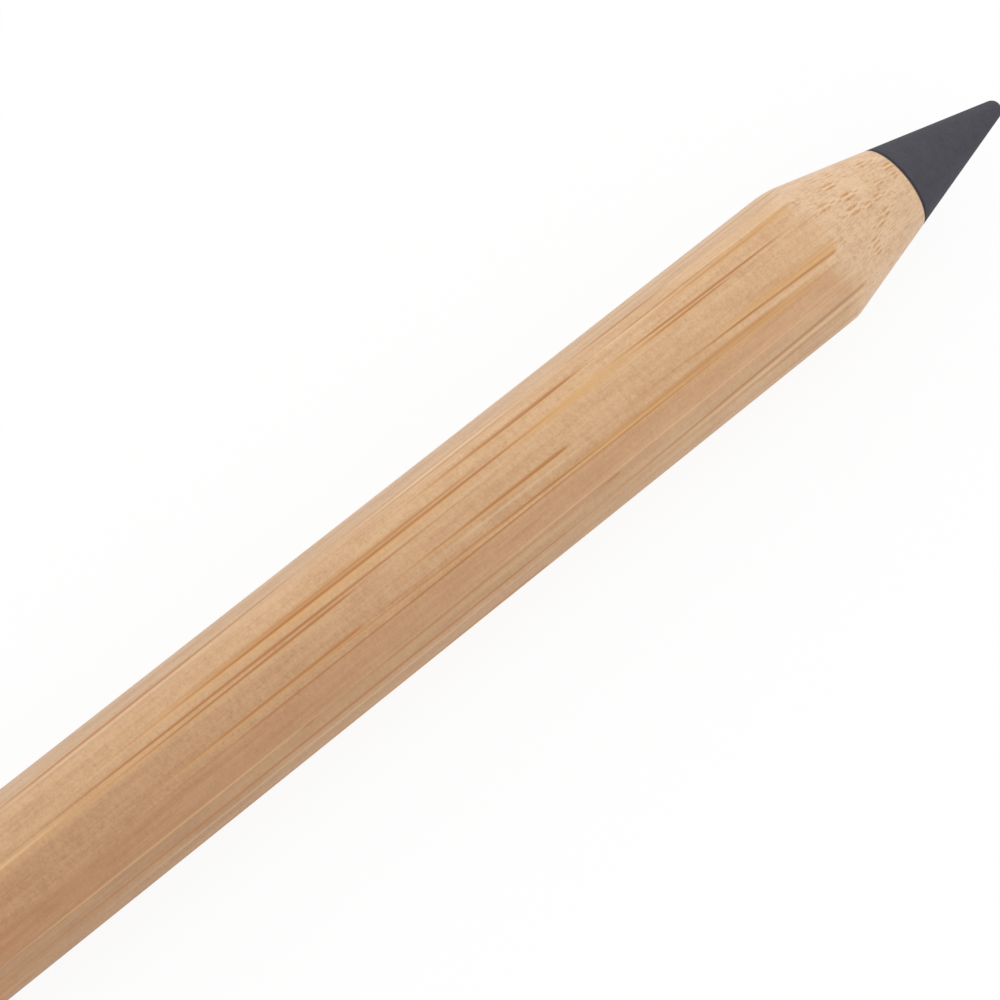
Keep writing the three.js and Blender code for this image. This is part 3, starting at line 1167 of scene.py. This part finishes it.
def add_camera(scene, stage):
    """The camera, at the photograph's viewing angle."""
    flat = math.cos(stage.elevation)
    sideways = Vector((math.sin(stage.azimuth), -math.cos(stage.azimuth), 0.0))
    back = sideways * flat + Vector((0.0, 0.0, math.sin(stage.elevation)))
    bpy.ops.object.camera_add(location=Vector(stage.aim) + back * stage.distance)
    camera = bpy.context.object
    camera.name = "camera"
    camera.data.lens = stage.lens
    camera.data.sensor_width = SENSOR_WIDTH
    camera.data.clip_start = 0.01
    camera.data.clip_end = 10.0
    camera.rotation_mode = "QUATERNION"
    level = (-back).to_track_quat("-Z", "Y")
    camera.rotation_quaternion = level @ Quaternion((0.0, 0.0, 1.0), stage.roll)
    scene.camera = camera


# Operators

class PENCIL_OT_barrel(bpy.types.Operator):
    """Models the bamboo barrel"""

    bl_idname = "pencil.barrel"
    bl_label = "Bamboo barrel"

    def execute(self, context):
        barrel = context.scene.pencil_barrel
        screw = context.scene.pencil_screw
        piece = loft(
            "bamboo_barrel", columns=192, profile_at=lambda angle: barrel_profile(angle, barrel, screw),
            turned_angle=crowd_towards_edges,
        )
        look = bamboo(barrel)
        finish_piece(piece, "barrel", "barrel", look, smooth_angle=math.radians(20))
        return {"FINISHED"}


class PENCIL_OT_insert(bpy.types.Operator):
    """Models the knurled and threaded insert"""

    bl_idname = "pencil.insert"
    bl_label = "Threaded insert"

    def execute(self, context):
        screw = context.scene.pencil_screw
        piece = loft(
            "brass_insert", columns=screw.knurl_teeth * 4,
            profile_at=lambda angle: insert_profile(angle, screw), joined=True,
        )
        look = bright_metal("brass", colour=(0.60, 0.42, 0.16), roughness=0.32)
        finish_piece(piece, "barrel", "threaded_insert", look, smooth_angle=math.radians(35))
        return {"FINISHED"}


class PENCIL_OT_stud(bpy.types.Operator):
    """Models the threaded stud that carries the nib"""

    bl_idname = "pencil.stud"
    bl_label = "Nib stud"

    def execute(self, context):
        screw = context.scene.pencil_screw
        piece = loft("steel_stud", columns=64, profile_at=lambda angle: stud_profile(angle, screw))
        look = bright_metal("steel", colour=(0.55, 0.55, 0.56), roughness=0.3)
        finish_piece(piece, "stud", "nib_stud", look, smooth_angle=math.radians(35))
        return {"FINISHED"}


class PENCIL_OT_nib(bpy.types.Operator):
    """Models the graphite nib"""

    bl_idname = "pencil.nib"
    bl_label = "Graphite nib"

    def execute(self, context):
        nib = context.scene.pencil_nib
        profile = nib_profile(nib, context.scene.pencil_barrel, context.scene.pencil_screw)
        piece = loft("graphite_nib", columns=128, profile_at=lambda angle: profile)
        finish_piece(piece, "nib", "nib", graphite(nib), smooth_angle=math.radians(30))
        return {"FINISHED"}


class PENCIL_OT_stage(bpy.types.Operator):
    """Sets up the white floor, the large soft lamp and the camera"""

    bl_idname = "pencil.stage"
    bl_label = "Studio"

    def execute(self, context):
        stage = context.scene.pencil_stage
        add_floor(stage)
        add_surroundings(context.scene, stage)
        front_half = (0.04, 0.0, 0.0)
        add_lamp("key_lamp", place=(0.05, 0.36, 0.21), target=front_half, size=0.45, power=stage.key_power)
        add_camera(context.scene, stage)
        context.scene.view_settings.view_transform = "Standard"
        return {"FINISHED"}


PIECES = (PENCIL_OT_barrel, PENCIL_OT_insert, PENCIL_OT_stud, PENCIL_OT_nib, PENCIL_OT_stage)


class PENCIL_PT_sidebar(bpy.types.Panel):
    """Lists the pencil's pieces"""

    bl_label = "Inkless pencil"
    bl_space_type = "VIEW_3D"
    bl_region_type = "UI"
    bl_category = "Pencil"

    def draw(self, context):
        for piece in PIECES:
            self.layout.operator(piece.bl_idname)


SETTINGS = {
    "pencil_barrel": PencilBarrelSettings,
    "pencil_nib": PencilNibSettings,
    "pencil_screw": PencilScrewSettings,
    "pencil_stage": PencilStageSettings,
}


def register():
    for settings in SETTINGS.values():
        bpy.utils.register_class(settings)
    for name, settings in SETTINGS.items():
        setattr(bpy.types.Scene, name, bpy.props.PointerProperty(type=settings))
    for piece in PIECES:
        bpy.utils.register_class(piece)
    bpy.utils.register_class(PENCIL_PT_sidebar)


def unregister():
    bpy.utils.unregister_class(PENCIL_PT_sidebar)
    for piece in reversed(PIECES):
        bpy.utils.unregister_class(piece)
    for name, settings in reversed(SETTINGS.items()):
        delattr(bpy.types.Scene, name)
        bpy.utils.unregister_class(settings)


def main():
    register()
    for piece in PIECES:
        group, name = piece.bl_idname.split(".")
        getattr(getattr(bpy.ops, group), name)()


if __name__ == "__main__":
    main()
